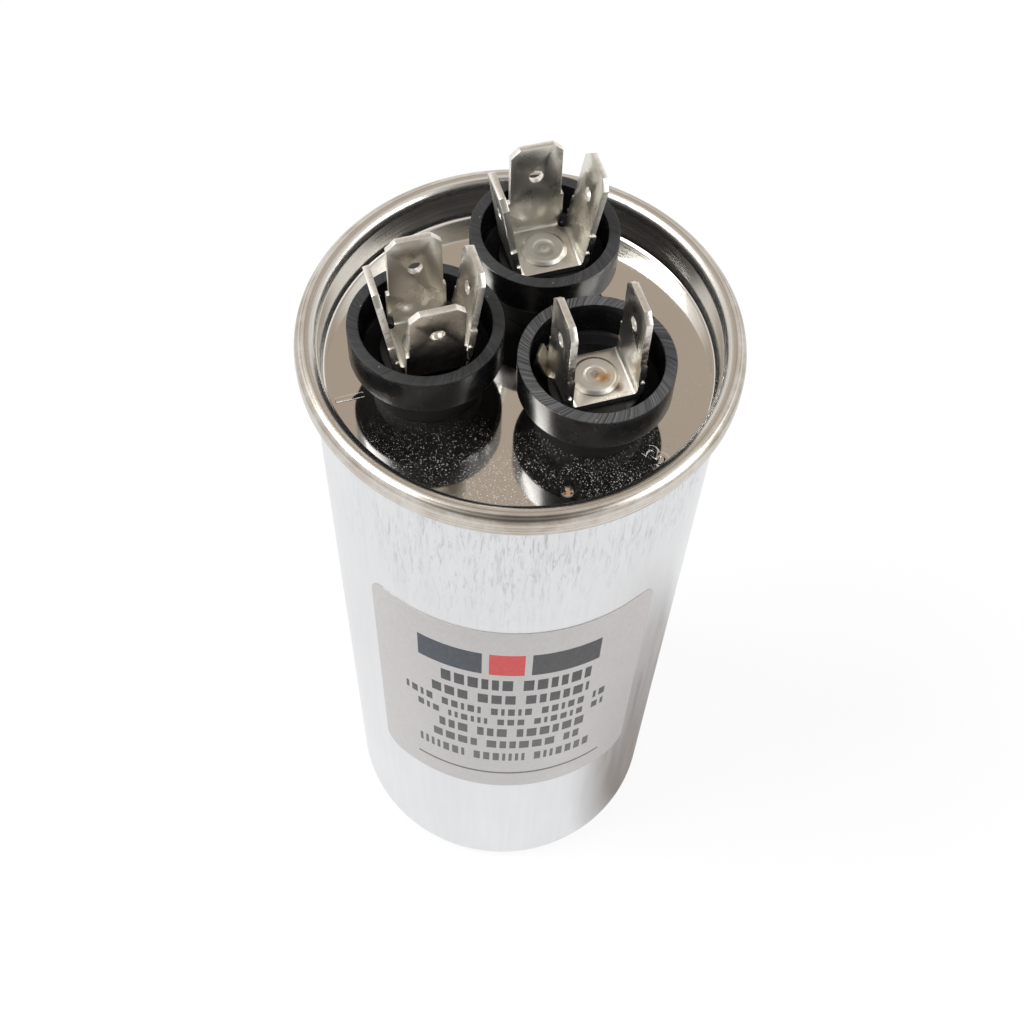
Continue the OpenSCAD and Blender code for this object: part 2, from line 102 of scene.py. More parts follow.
class CapacitorSizes(bpy.types.PropertyGroup):
    """Sizes of the finished pieces"""

    can_radius: length("Can radius", "Outer radius of the can's wall", 25 * MM)
    can_sheet: length("Can sheet", "Thickness of the can's sheet", 0.5 * MM)
    foot_radius: length("Foot radius", "Outer radius of the bend at the can's foot", 3 * MM)
    neck_in: length("Neck", "How far the wall is necked in below the seam", 0.1 * MM)
    neck_height: length("Neck height", "Height of the slope between the wall and its neck", 0.6 * MM)
    lid_sheet: length("Lid sheet", "Thickness of the lid's sheet", 0.5 * MM)
    lid_depth: length("Lid depth", "Depth of the lid's panel below the seam", 5.5 * MM)
    panel_bend: length("Panel bend", "Bend radius between the panel and its wall", 0.9 * MM)
    seam_height: length("Seam height", "Height of the rolled seam", 3.2 * MM)
    seam_play: length("Seam play", "Play between two folded layers of the seam", 0.1 * MM)
    label_width: length("Label width", "Width of the label around the can", 41 * MM)
    label_height: length("Label height", "Height of the label", 52 * MM)
    label_corner: length("Label corner", "Radius of the label's corners", 3 * MM)
    label_film: length("Label film", "Thickness of the label's film", 0.08 * MM)
    label_turn: bpy.props.FloatProperty(
        name="Label turn", description="Direction in which the middle of the label faces",
        default=math.radians(-107), subtype="ANGLE", unit="ROTATION")
    cup_radius: length("Cup radius", "Outer radius of a cup's ring", 9 * MM)
    cup_wall: length("Cup wall", "Thickness of a cup's ring", 1.4 * MM)
    cup_band: length("Cup band", "Height of a cup's wide band, from its rim down", 4.8 * MM)
    cup_depth: length("Cup depth", "Depth of a cup's floor below its rim", 5.6 * MM)
    edge_round: length("Edge round", "Radius on a cup's moulded edges", 0.22 * MM)
    burr: length("Burr", "Rounding of the stamped edges", 0.06 * MM)
    numeral_height: length("Numeral height", "Height of the raised numbers", 3.3 * MM)
    numeral_rise: length("Numeral rise", "How far a number stands above the panel", 0.16 * MM)


class CapacitorColours(bpy.types.PropertyGroup):
    """Colours of the finished pieces"""

    aluminium: colour("Aluminium", "The can's bare metal", (0.745, 0.75, 0.76))
    tinplate: colour("Tinplate", "The lid's bright metal", (0.80, 0.775, 0.735))
    tarnish: colour("Tarnish", "Warm film on the seam", (0.47, 0.41, 0.345))
    plastic: colour("Plastic", "The black cups", (0.0045, 0.0045, 0.005))
    blade: colour("Blade", "Tinned terminal metal", (0.76, 0.735, 0.68))
    rust: colour("Rust", "Rust on the sheared edges", (0.17, 0.085, 0.04))
    flux: colour("Flux", "Orange flux stains", (0.50, 0.21, 0.05))
    film: colour("Film", "The label's silver film", (0.52, 0.502, 0.497))
    ink: colour("Ink", "Dark print on the label", (0.045, 0.045, 0.049))
    slate: colour("Slate", "Slate field on the label", (0.035, 0.044, 0.060))
    red: colour("Red", "Red field on the label", (0.62, 0.045, 0.045))


# ---------------------------------------------------------------- modelling


def deselect():
    """Leaves edit mode and selects nothing."""
    if bpy.context.object and bpy.context.object.mode != "OBJECT":
        bpy.ops.object.mode_set(mode="OBJECT")
    bpy.ops.object.select_all(action="DESELECT")


def make_active(obj):
    deselect()
    obj.select_set(True)
    bpy.context.view_layer.objects.active = obj


def edit(obj):
    make_active(obj)
    bpy.ops.object.mode_set(mode="EDIT")
    bpy.ops.mesh.select_mode(type="VERT")
    bpy.ops.mesh.select_all(action="SELECT")


def finish_edit():
    bpy.ops.object.mode_set(mode="OBJECT")


def arc(cx, cz, radius, first, last, steps):
    """Points of an arc in the X-Z plane, angles in degrees."""
    angles = [math.radians(first + (last - first) * i / steps) for i in range(steps + 1)]
    return [(cx + radius * math.cos(a), cz + radius * math.sin(a)) for a in angles]


def rounded(points, radius, steps=4):
    """A closed line with each corner rounded; a corner given as (x, z, r) has its own radius."""
    out = []
    count = len(points)
    for i, corner in enumerate(points):
        here = Vector(corner[:2])
        back = Vector(points[i - 1][:2]) - here
        on = Vector(points[(i + 1) % count][:2]) - here
        wanted = corner[2] if len(corner) > 2 else radius
        turn = back.angle(on)
        cut = min(wanted / max(math.tan(turn / 2), 1e-6), 0.45 * back.length, 0.45 * on.length)
        if wanted <= 0 or cut < 1e-7:
            out.append(tuple(here))
            continue
        a, b = here + back.normalized() * cut, here + on.normalized() * cut
        for k in range(steps + 1):
            t = k / steps
            out.append(tuple((1 - t) ** 2 * a + 2 * t * (1 - t) * here + t ** 2 * b))
    return out


def draw_line(name, points, closed=False):
    """Draws a line in the X-Z plane by extruding one vertex from point to point."""
    deselect()
    bpy.ops.mesh.primitive_plane_add(size=MM, location=(0, 0, 0))
    obj = bpy.context.object
    obj.name = obj.data.name = name
    edit(obj)
    bpy.ops.mesh.merge(type="CENTER")
    places = [Vector((x, 0, z)) for x, z in points]
    bpy.ops.transform.translate(value=places[0])
    for a, b in zip(places, places[1:] + ([places[0]] if closed else [])):
        bpy.ops.mesh.extrude_region_move(TRANSFORM_OT_translate={"value": b - a})
    bpy.ops.mesh.select_all(action="SELECT")
    bpy.ops.mesh.remove_doubles(threshold=1e-7)
    finish_edit()
    return obj


def turn_round(obj, steps):
    """Spins a line into a closed round surface about the vertical axis."""
    edit(obj)
    bpy.ops.mesh.spin(steps=steps, angle=math.tau, center=(0, 0, 0), axis=(0, 0, 1))
    bpy.ops.mesh.select_all(action="SELECT")
    bpy.ops.mesh.remove_doubles(threshold=1e-6)
    bpy.ops.mesh.normals_make_consistent(inside=False)
    finish_edit()
    return obj


def apply_modifier(obj, kind, **settings):
    make_active(obj)
    modifier = obj.modifiers.new(kind.title(), kind)
    for key, value in settings.items():
        setattr(modifier, key, value)
    bpy.ops.object.modifier_apply(modifier=modifier.name)


def smooth(obj, angle=35):
    make_active(obj)
    bpy.ops.object.shade_smooth_by_angle(angle=math.radians(angle))


def round_edges(obj, width):
    """Rounds the edges of a stamped piece."""
    apply_modifier(obj, "BEVEL", width=width, segments=2, limit_method="ANGLE",
                   angle_limit=math.radians(38), use_clamp_overlap=False)
    smooth(obj, 40)


def add_object(name, data):
    obj = bpy.data.objects.new(name, data)
    bpy.context.scene.collection.objects.link(obj)
    return obj


def copy_node(node, name):
    """A copy of a CAD node with its loose triangles merged and its flat faces joined."""
    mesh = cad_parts[node].data.copy()
    mesh.materials.clear()
    mesh.name = name
    obj = add_object(name, mesh)
    make_active(obj)
    bpy.ops.mesh.customdata_custom_splitnormals_clear()
    edit(obj)
    bpy.ops.mesh.remove_doubles(threshold=2e-6)
    bpy.ops.mesh.dissolve_limited(angle_limit=math.radians(1))
    finish_edit()
    return obj


def at_terminals(model, prefix):
    """Gives each terminal's name with a copy of the model at its place, and then removes the model."""
    for name in TERMINALS:
        centre = cup_centre(name)
        obj = add_object(prefix + name, model.data.copy())
        obj.data.name = obj.name
        obj.data.transform(Matrix.Translation((centre.x, centre.y, 0)))
        yield name, obj
    bpy.data.objects.remove(model)


def lid_walls(s):
    """Radii of the middle of the lid's sheet: in its countersink wall, its inner hook and its skirt."""
    neck = s.can_radius - s.neck_in
    chuck = neck - s.can_sheet - s.lid_sheet / 2
    inner_hook = neck + s.seam_play + s.lid_sheet / 2
    skirt = neck + 3 * s.seam_play + 1.5 * s.lid_sheet + s.can_sheet
    return chuck, inner_hook, skirt


def hand_in(obj, slot, material, *nodes):
    """Gives a finished piece its material, its body and the nodes it stands for; the slot argument is not
    used.
    """
    obj.data.materials.clear()
    for m in material if isinstance(material, list) else [material]:
        obj.data.materials.append(m)
    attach(obj, "root")
    if nodes:
        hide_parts(*nodes)
    return obj


# ---------------------------------------------------------------- materials


class Recipe:
    """One procedural material, built node by node. Places are in the piece's own coordinates."""

    def __init__(self, name, metallic=0.0, roughness=0.5, specular=0.5):
        self.material = bpy.data.materials.new(name)
        self.material.use_nodes = True
        self.tree = self.material.node_tree
        self.shader = self.tree.nodes["Principled BSDF"]
        self.shader.inputs["Metallic"].default_value = metallic
        self.shader.inputs["Roughness"].default_value = roughness
        self.shader.inputs["Specular IOR Level"].default_value = specular
        self.place = self.add("ShaderNodeTexCoord").outputs["Object"]
        self.heights = []

    def add(self, kind, inputs=(), **settings):
        made = self.tree.nodes.new(kind)
        for key, value in settings.items():
            setattr(made, key, value)
        for key, value in dict(inputs).items():
            self.link(value, made.inputs[key])
        return made

    def link(self, value, socket):
        if isinstance(value, bpy.types.NodeSocket):
            self.tree.links.new(value, socket)
        else:
            if socket.type == "RGBA" and len(value) == 3:
                value = (*value, 1.0)
            socket.default_value = value

    def set(self, name, value):
        self.link(value, self.shader.inputs[name])

    def mapped(self, scale=(1, 1, 1), shift=(0, 0, 0), source=None):
        vector = source or self.place
        made = self.add("ShaderNodeMapping", {"Vector": vector, "Scale": scale, "Location": shift})
        return made.outputs["Vector"]

    def noise(self, scale, detail=3.0, rough=0.55, source=None, stretch=(1, 1, 1), lumps=0.0):
        made = self.add("ShaderNodeTexNoise", {
            "Vector": self.mapped(stretch, source=source), "Scale": scale, "Detail": detail,
            "Roughness": rough, "Distortion": lumps})
        return made.outputs["Fac"]

    def calc(self, operation, a, b=0.0, clamp=False):
        made = self.add("ShaderNodeMath", {0: a, 1: b}, operation=operation, use_clamp=clamp)
        return made.outputs[0]

    def span(self, value, low, high, start=0.0, end=1.0):
        """Maps low..high to start..end, held at both ends."""
        made = self.add("ShaderNodeMapRange", {
            "Value": value, "From Min": low, "From Max": high, "To Min": start, "To Max": end})
        return made.outputs["Result"]

    def blend(self, factor, a, b):
        """A colour between a and b."""
        made = self.add("ShaderNodeMix", data_type="RGBA")
        self.link(factor, made.inputs[0])
        self.link(a, made.inputs[6])
        self.link(b, made.inputs[7])
        return made.outputs[2]

    def axis(self, which, source=None):
        made = self.add("ShaderNodeSeparateXYZ", {"Vector": source or self.place})
        return made.outputs[which]

    def near(self, point, full, none):
        """1 within full metres of a point, 0 beyond none."""
        made = self.add("ShaderNodeVectorMath", {0: self.place, 1: point}, operation="DISTANCE")
        return self.span(made.outputs["Value"], full, none, 1.0, 0.0)

    def blot(self, point, full, none, noise, low, high):
        """A ragged spot round a point."""
        return self.calc("MULTIPLY", self.near(point, full, none), self.span(noise, low, high))

    def level(self, centre=(0, 0)):
        """The place as seen from a centre, without its height."""
        off = self.mapped(shift=(-centre[0], -centre[1], 0))
        made = self.add("ShaderNodeVectorMath", {0: off, 1: (1, 1, 0)}, operation="MULTIPLY")
        return made.outputs["Vector"]

    def reach(self, flat):
        """The length of a vector."""
        return self.add("ShaderNodeVectorMath", {0: flat}, operation="LENGTH").outputs["Value"]

    def specks(self, cell, size, share):
        """Small round specks: one in share of all cells of that width holds one."""
        made = self.add("ShaderNodeTexVoronoi", {"Vector": self.place, "Scale": 1 / cell})
        pick = self.calc("GREATER_THAN", self.axis(0, made.outputs["Color"]), 1 - share)
        spread = self.span(self.axis(1, made.outputs["Color"]), 0, 1, size * 0.35, size)
        gap = self.calc("SUBTRACT", self.calc("DIVIDE", spread, cell), made.outputs["Distance"])
        dot = self.span(gap, 0.0, 0.12)
        return self.calc("MULTIPLY", pick, dot)

    def around(self, centre, scale, twist=0.0):
        """Noise that is drawn out along the radii of a circle about centre."""
        flat = self.level(centre)
        if twist:
            turn = self.calc("MULTIPLY", self.reach(flat), twist)
            made = self.add("ShaderNodeVectorRotate", {"Vector": flat, "Axis": (0, 0, 1), "Angle": turn})
            flat = made.outputs["Vector"]
        ray = self.add("ShaderNodeVectorMath", {0: flat}, operation="NORMALIZE").outputs["Vector"]
        return self.noise(scale, 2.0, 0.6, source=ray)

    def raise_by(self, height, distance, strength):
        self.heights.append((height, distance, strength))

    def show(self, shader):
        """Sends another shader than the material's own to its output."""
        out = next(n for n in self.tree.nodes if n.type == "OUTPUT_MATERIAL")
        self.tree.links.new(shader.outputs[0], out.inputs["Surface"])

    def done(self):
        normal = None
        for height, distance, strength in self.heights:
            inputs = {"Height": height, "Distance": distance, "Strength": strength}
            if normal:
                inputs["Normal"] = normal
            normal = self.add("ShaderNodeBump", inputs).outputs["Normal"]
        if normal:
            self.set("Normal", normal)
        return self.material


def scaled(base, factor):
    return tuple(min(1.0, c * factor) for c in base)


def aluminium(colours):
    """Drawn aluminium: fine upright lines, chatter below the seam and soft clouds."""
    m = Recipe("drawn_aluminium", metallic=1.0, roughness=0.34)
    lines = m.noise(900, 3, 0.6, stretch=(1, 1, 0.05))
    scores = m.noise(2600, 2, 0.5, stretch=(1, 1, 0.03))
    clouds = m.noise(45, 4, 0.6, stretch=(1, 1, 0.45))
    chatter = m.noise(2000, 4, 0.7, stretch=(1, 1, 0.13), lumps=0.7)
    height = m.axis(2)
    upper = m.calc("MULTIPLY", m.span(height, 84 * MM, 104 * MM), m.span(clouds, 0.38, 0.60))
    frost = m.calc("MULTIPLY", m.span(chatter, 0.50, 0.68), upper)
    dull, pale = scaled(colours.aluminium, 0.95), scaled(colours.aluminium, 1.03)
    shade = m.blend(m.span(lines, 0.3, 0.7), dull, pale)
    shade = m.blend(m.span(clouds, 0.35, 0.7, 0.0, 0.35), shade, scaled(colours.aluminium, 0.86))
    shade = m.blend(m.calc("MULTIPLY", frost, 0.8), shade, scaled(colours.aluminium, 0.55))
    m.set("Base Color", shade)
    m.set("Roughness", m.span(m.calc("ADD", m.calc("MULTIPLY", lines, 0.5), m.calc("MULTIPLY", clouds, 0.5)),
                              0.3, 0.7, 0.27, 0.42))
    m.raise_by(scores, 0.02 * MM, 0.35)
    m.raise_by(lines, 0.05 * MM, 0.30)
    m.raise_by(m.calc("MULTIPLY", chatter, upper), 0.2 * MM, 0.45)
    return m.done()


def tinplate(colours, panel):
    """Bright tinplate: a mirror on the panel, warm and drawn round on the seam, with dust and a rust spot."""
    m = Recipe("bright_tinplate", metallic=1.0, roughness=0.07)
    height = m.axis(2)
    reach = m.reach(m.level())
    seam = m.span(reach, 24 * MM, 25 * MM)
    stains = m.noise(160, 5, 0.65)
    turned = m.add("ShaderNodeCombineXYZ", {0: reach, 2: height}).outputs["Vector"]
    rolled = m.noise(5200, 3, 0.6, source=turned)
    outside = m.span(reach, 25.1 * MM, 25.7 * MM)
    crease = m.calc("MULTIPLY", m.span(reach, 24.3 * MM, 24.6 * MM), m.span(reach, 24.9 * MM, 24.6 * MM))
    film = m.calc("MAXIMUM", m.calc("MULTIPLY", outside, m.span(stains, 0.35, 0.6, 0.45, 0.95)),
                  m.calc("MULTIPLY", crease, 0.5))
    near_side = m.span(m.axis(1), -2 * MM, -21 * MM)
    dust_field = m.calc("MULTIPLY", near_side, m.span(m.noise(120, 3, 0.6), 0.35, 0.55))
    fine_dust = m.calc("MULTIPLY", m.specks(0.12 * MM, 0.04 * MM, 0.8), 0.6)
    dust = m.calc("MULTIPLY", m.calc("MAXIMUM", m.specks(0.21 * MM, 0.08 * MM, 0.85), fine_dust), dust_field)
    grit = m.specks(1.2 * MM, 0.09 * MM, 0.2)
    dirt = m.calc("MAXIMUM", dust, grit)
    dirt = m.calc("MULTIPLY", dirt, m.span(height, panel + 2.5 * MM, panel + 0.3 * MM))
    spot = (-0.3 * MM, -19.9 * MM, panel)
    rust = m.blot(spot, 0.2 * MM, 0.8 * MM, m.noise(1500, 3, 0.6), 0.40, 0.47)
    brown = m.blend(m.span(rolled, 0.35, 0.65), scaled(colours.tarnish, 0.55), scaled(colours.tarnish, 1.35))
    shade = m.blend(film, colours.tinplate, brown)
    shade = m.blend(dirt, shade, (0.80, 0.79, 0.76))
    shade = m.blend(rust, shade, colours.flux)
    m.set("Base Color", shade)
    m.set("Metallic", m.calc("SUBTRACT", 1.0, m.calc("MAXIMUM", dirt, rust, clamp=True)))
    haze = m.span(m.noise(70, 4, 0.6), 0.35, 0.7, 0.045, 0.085)
    upright = m.span(reach, 23.3 * MM, 24 * MM)
    rough = m.calc("ADD", haze, m.calc("MULTIPLY", upright, m.span(rolled, 0.35, 0.65, 0.14, 0.24)))
    m.set("Roughness", m.calc("MAXIMUM", rough, m.calc("MULTIPLY", dirt, 0.7)))
    m.raise_by(m.noise(230, 2, 0.5), 0.06 * MM, 0.12)
    m.raise_by(m.calc("MULTIPLY", rolled, seam), 0.04 * MM, 0.4)
    m.raise_by(rust, 0.03 * MM, 0.3)
    return m.done()


def cup_plastic(colours, name, band):
    """Black moulded plastic, with the cutter's marks across the rim."""
    m = Recipe("black_plastic_" + name, roughness=0.26, specular=0.32)
    centre = cup_centre(name)
    rim = m.span(m.axis(2), CUP_TOP - 0.22 * MM, CUP_TOP - 0.08 * MM)
    cuts = m.around(centre, 34 if name == "fan" else 26, twist=70)
    fine = m.around(centre, 90, twist=70)
    marks = m.calc("ADD", m.calc("MULTIPLY", cuts, 0.6), m.calc("MULTIPLY", fine, 0.4))
    scuffs = m.noise(420, 5, 0.65)
    dust = m.calc("MULTIPLY", m.specks(0.8 * MM, 0.06 * MM, 0.25), m.span(m.noise(150, 2), 0.45, 0.6))
    nicks = m.calc("MULTIPLY", m.specks(0.6 * MM, 0.12 * MM, 0.2), rim)
    light = 1.0 if name == "fan" else 0.3
    shade = m.blend(m.span(scuffs, 0.45, 0.75), colours.plastic, scaled(colours.plastic, 2.0))
    worn = m.calc("MULTIPLY", rim, m.span(marks, 0.42, 0.60, 0.1, light))
    shade = m.blend(worn, shade, (0.11, 0.11, 0.112))
    shade = m.blend(m.calc("MAXIMUM", m.calc("MULTIPLY", dust, 0.5), m.calc("MULTIPLY", nicks, 0.6)),
                    shade, (0.42, 0.41, 0.39))
    m.set("Base Color", shade)
    wall = m.span(scuffs, 0.3, 0.7, 0.18, 0.30)
    below = m.span(m.axis(2), band + 0.1 * MM, band - 0.2 * MM)
    m.set("Roughness", m.calc("MAXIMUM", m.calc("MAXIMUM", wall, m.calc("MULTIPLY", rim, 0.55)),
                              m.calc("MULTIPLY", below, 0.9)))
    m.raise_by(m.calc("MULTIPLY", marks, rim), 0.35 * MM, 0.6 if name == "fan" else 0.35)
    m.raise_by(scuffs, 0.04 * MM, 0.3)
    return m.done()


def blade_metal(colours, name):
    """Tinned sheet: satin, with rolling lines, smudges and a few dark pits, and a painted brown reflection on
    the common terminal's near face.
    """
    m = Recipe("tinned_sheet_" + name, metallic=1.0, roughness=0.28)
    centre = cup_centre(name)
    clouds = m.noise(260, 4, 0.6)
    grain = m.noise(2600, 3, 0.6)
    pits = m.calc("MULTIPLY", m.specks(1.1 * MM, 0.22 * MM, 0.35 if name == "common" else 0.12),
                  m.span(m.noise(300, 3), 0.5, 0.6))
    shade = m.blend(m.span(clouds, 0.35, 0.7), colours.blade, scaled(colours.blade, 0.90))
    shade = m.blend(m.span(grain, 0.4, 0.7, 0, 0.15), shade, scaled(colours.blade, 0.78))
    # Ragged noise: the real flux and rust stains on the fan terminal, and the patchy edge of the painted
    # reflection on the common one.
    stain_and_reflection_noise = m.noise(700, 4, 0.65)
    if name == "common":
        # Painted reflection: a patchy brown laid on the near face of the common terminal's blades, standing
        # in for what the tinned face mirrors.
        painted_reflection = m.span(m.axis(1), centre.y - 3.4 * MM, centre.y - 4 * MM)
        painted_reflection = m.calc("MULTIPLY", painted_reflection, m.span(stain_and_reflection_noise, 0.3, 0.6, 0.5, 1))
        shade = m.blend(m.calc("MULTIPLY", painted_reflection, 0.55), shade, (0.30, 0.20, 0.125))
    if name == "fan":
        seat = Vector((centre.x, centre.y, PLATE_TOP))
        flux = m.blot(seat + Vector((0.2 * MM, -0.2 * MM, 0.4 * MM)), 0.8 * MM, 2.4 * MM, stain_and_reflection_noise, 0.46, 0.58)
        drop = m.blot(seat + Vector((1.9 * MM, -2 * MM, 0)), 0.2 * MM, 0.9 * MM, stain_and_reflection_noise, 0.42, 0.52)
        back = m.blot(seat + Vector((4.2 * MM, 3.4 * MM, 1.5 * MM)), 0.3 * MM, 1.2 * MM, stain_and_reflection_noise, 0.42, 0.52)
        rust = m.calc("MAXIMUM", flux, back)
        shade = m.blend(rust, shade, colours.flux)
        shade = m.blend(drop, shade, scaled(colours.rust, 1.3))
        rust = m.calc("MAXIMUM", rust, drop)
        m.set("Metallic", m.calc("SUBTRACT", 1.0, m.calc("MULTIPLY", rust, 0.9)))
    shade = m.blend(m.calc("MULTIPLY", pits, 0.85), shade, (0.05, 0.04, 0.035))
    m.set("Base Color", shade)
    m.set("Roughness", m.calc("ADD", m.span(clouds, 0.3, 0.7, 0.25, 0.33), m.calc("MULTIPLY", pits, 0.3)))
    m.raise_by(clouds, 0.05 * MM, 0.04)
    m.raise_by(grain, 0.02 * MM, 0.25)
    m.raise_by(m.calc("MULTIPLY", pits, -1.0), 0.06 * MM, 0.6)
    return m.done()


def cut_edge(colours, name):
    """The sheared edges of the sheet, where the tin ends and the base metal has begun to rust."""
    m = Recipe("sheared_edge_" + name, metallic=1.0, roughness=0.33)
    centre = cup_centre(name)
    streaks = m.noise(1500, 4, 0.7)
    low = m.span(m.axis(2), PLATE_TOP + 10.5 * MM, PLATE_TOP + 5 * MM)
    amount = {"common": 0.45, "compressor": 0.1, "fan": 0.6}[name]
    spread = m.calc("ADD", streaks, m.calc("MULTIPLY", low, 0.16))
    rust = m.calc("MULTIPLY", m.span(spread, 0.56, 0.68), amount)
    shade = m.blend(m.span(streaks, 0.35, 0.65), scaled(colours.blade, 1.15), scaled(colours.blade, 0.95))
    shade = m.blend(rust, shade, colours.rust)
    if name == "fan":
        near = m.calc("MULTIPLY", m.span(m.axis(1), centre.y - 1.6 * MM, centre.y - 2.4 * MM),
                      m.span(m.axis(2), PLATE_TOP + 11 * MM, PLATE_TOP + 6.5 * MM))
        dark = m.calc("MULTIPLY", near, m.span(streaks, 0.3, 0.55, 0.6, 1.0))
        shade = m.blend(dark, shade, scaled(colours.rust, 0.16))
        rust = m.calc("MAXIMUM", rust, dark)
    m.set("Base Color", shade)
    m.set("Metallic", m.calc("SUBTRACT", 1.0, m.calc("MULTIPLY", rust, 0.85)))
    m.set("Roughness", m.span(rust, 0, 1, 0.32, 0.62))
    m.raise_by(streaks, 0.04 * MM, 0.3)
    return m.done()


def rivet_metal(colours, name):
    """A spun rivet head: rings left by the spinning tool, and solder-bright metal."""
    m = Recipe("spun_rivet_" + name, metallic=1.0, roughness=0.28)
    centre = cup_centre(name)
    reach = m.reach(m.level(centre))
    rings = m.noise(9000, 2, 0.6, source=m.add("ShaderNodeCombineXYZ", {0: reach}).outputs["Vector"])
    blot = m.noise(900, 4, 0.65)
    shade = m.blend(m.span(rings, 0.35, 0.65), colours.blade, scaled(colours.blade, 0.78))
    if name == "fan":
        spot = Vector((centre.x + 0.8 * MM, centre.y - 0.6 * MM, PLATE_TOP + 0.4 * MM))
        ragged = m.noise(2400, 4, 0.65)
        halo = m.calc("MULTIPLY", m.blot(spot, 0.3 * MM, 1.8 * MM, ragged, 0.36, 0.56), 0.75)
        flux = m.blot(spot, 0.1 * MM, 1 * MM, ragged, 0.36, 0.52)
        crust = m.blot(spot + Vector((-0.7 * MM, 0.7 * MM, 0)), 0.1 * MM, 0.8 * MM, blot, 0.38, 0.50)
        shade = m.blend(halo, shade, (0.72, 0.50, 0.20))
        shade = m.blend(flux, shade, colours.flux)
        shade = m.blend(crust, shade, scaled(colours.rust, 1.3))
        rust = m.calc("MAXIMUM", m.calc("MAXIMUM", halo, flux), crust)
        m.set("Metallic", m.calc("SUBTRACT", 1.0, m.calc("MULTIPLY", rust, 0.9)))
    m.set("Base Color", shade)
    m.set("Roughness", m.span(blot, 0.3, 0.7, 0.32, 0.46))
    m.raise_by(rings, 0.05 * MM, 0.35)
    m.raise_by(blot, 0.1 * MM, 0.3)
    return m.done()


def label_paint(name, base, roughness, metallic=0.0, mottle=0.0, worn=None):
    """Label film or ink: nearly even, with a faint mottle; ink fades to the worn colour lower down."""
    m = Recipe(name, metallic=metallic, roughness=roughness)
    clouds = m.noise(170, 4, 0.6)
    grain = m.noise(1700, 4, 0.7, stretch=(1, 1, 0.6))
    upper = m.span(m.axis(2), 66 * MM, 88 * MM)
    shade = m.blend(m.span(clouds, 0.35, 0.7, 0, 0.5), base, scaled(base, 0.92))
    if worn:
        shade = m.blend(m.span(m.axis(2), 72 * MM, 38 * MM, 0.0, 0.75), shade, worn)
    share = m.calc("ADD", m.calc("MULTIPLY", upper, mottle), 0.08)
    shade = m.blend(m.calc("MULTIPLY", m.span(grain, 0.42, 0.66), share), shade, scaled(base, 0.72))
    m.set("Base Color", shade)
    m.set("Roughness", m.span(grain, 0.3, 0.7, roughness - 0.06, roughness + 0.08))
    m.raise_by(grain, 0.03 * MM, 0.25)
    m.raise_by(clouds, 0.2 * MM, 0.15)
    return m.done()


def plain_recipe(name, base, roughness, metallic=0.0, scale=600, stretch=(1, 1, 1)):
    """An even material with grain in its colour, gloss and height, for the pieces inside."""
    m = Recipe(name, metallic=metallic, roughness=roughness)
    grain = m.noise(scale, 4, 0.6, stretch=stretch)
    m.set("Base Color", m.blend(m.span(grain, 0.3, 0.7), scaled(base, 0.84), scaled(base, 1.08)))
    m.set("Roughness", m.span(grain, 0.3, 0.7, max(0.05, roughness - 0.08), roughness + 0.08))
    m.raise_by(grain, 0.05 * MM, 0.3)
    return m.done()


# ---------------------------------------------------------------- pieces


class CAPACITOR_OT_can(bpy.types.Operator):
    """Spin the drawn can, with its foot bend and the flange that is folded into the seam"""

    bl_idname = "capacitor.can"
    bl_label = "Can"

    def execute(self, context):
        s, c = context.scene.capacitor_sizes, context.scene.capacitor_colours
        wall = s.can_radius - s.can_sheet / 2
        neck = s.can_radius - s.neck_in
        neck_wall = neck - s.can_sheet / 2
        neck_z = LID_TOP - s.seam_height
        hook = neck + 2 * s.seam_play + s.lid_sheet + s.can_sheet / 2
        chuck, _, skirt = lid_walls(s)
        lid_roll = (skirt - chuck) / 2
        roll_z = LID_TOP - lid_roll - s.lid_sheet / 2 - s.seam_play
        hook_roll = s.seam_play / 2 + s.lid_sheet / 2 + s.can_sheet / 2
        hook_z = LID_TOP - s.seam_height + hook_roll + s.lid_sheet / 2
        roll = (hook - neck_wall) / 2
        line = [(0, s.can_sheet / 2)]
        line += [(x * MM, s.can_sheet / 2) for x in (10, 18)]
        line += arc(s.can_radius - s.foot_radius, s.foot_radius, s.foot_radius - s.can_sheet / 2, -90, 0, 14)
        line += [(wall, z) for z in (0.03, 0.06, 0.09, neck_z - s.neck_height)] + [(neck_wall, neck_z)]
        line += arc(neck_wall + roll, roll_z, roll, 180, 0, 14)
        line += [(hook, hook_z)]
        obj = turn_round(draw_line("can_shell", line), 256)
        apply_modifier(obj, "SOLIDIFY", thickness=s.can_sheet, offset=0, use_even_offset=True)
        smooth(obj)
        hand_in(obj, "can_aluminium", aluminium(c), "can")
        return {"FINISHED"}


class CAPACITOR_OT_lid(bpy.types.Operator):
    """Spin the lid's sheet: panel, countersink wall, seam crown, skirt and inner hook"""

    bl_idname = "capacitor.lid"
    bl_label = "Lid"

    def execute(self, context):
        s, c = context.scene.capacitor_sizes, context.scene.capacitor_colours
        chuck, inner_hook, skirt = lid_walls(s)
        roll = (skirt - chuck) / 2
        hook_roll = (skirt - inner_hook) / 2
        roll_z = LID_TOP - roll - s.lid_sheet / 2
        hook_z = LID_TOP - s.seam_height + hook_roll + s.lid_sheet / 2
        panel = LID_TOP - s.lid_depth
        sheet = panel - s.lid_sheet / 2
        line = [(r * MM, sheet) for r in (0, 6, 12, 18, 22, 23.2)]
        line += arc(chuck - s.panel_bend, sheet + s.panel_bend, s.panel_bend, -90, 0, 12)
        line += arc(chuck + roll, roll_z, roll, 180, 0, 28)
        line += arc(skirt - hook_roll, hook_z, hook_roll, 0, -180, 16)
        line += [(inner_hook, roll_z - s.seam_play)]
        obj = turn_round(draw_line("lid_sheet", line), 288)
        apply_modifier(obj, "SOLIDIFY", thickness=s.lid_sheet, offset=0, use_even_offset=True)
        smooth(obj)
        hand_in(obj, "lid_tinplate", tinplate(c, panel), "lid")
        return {"FINISHED"}


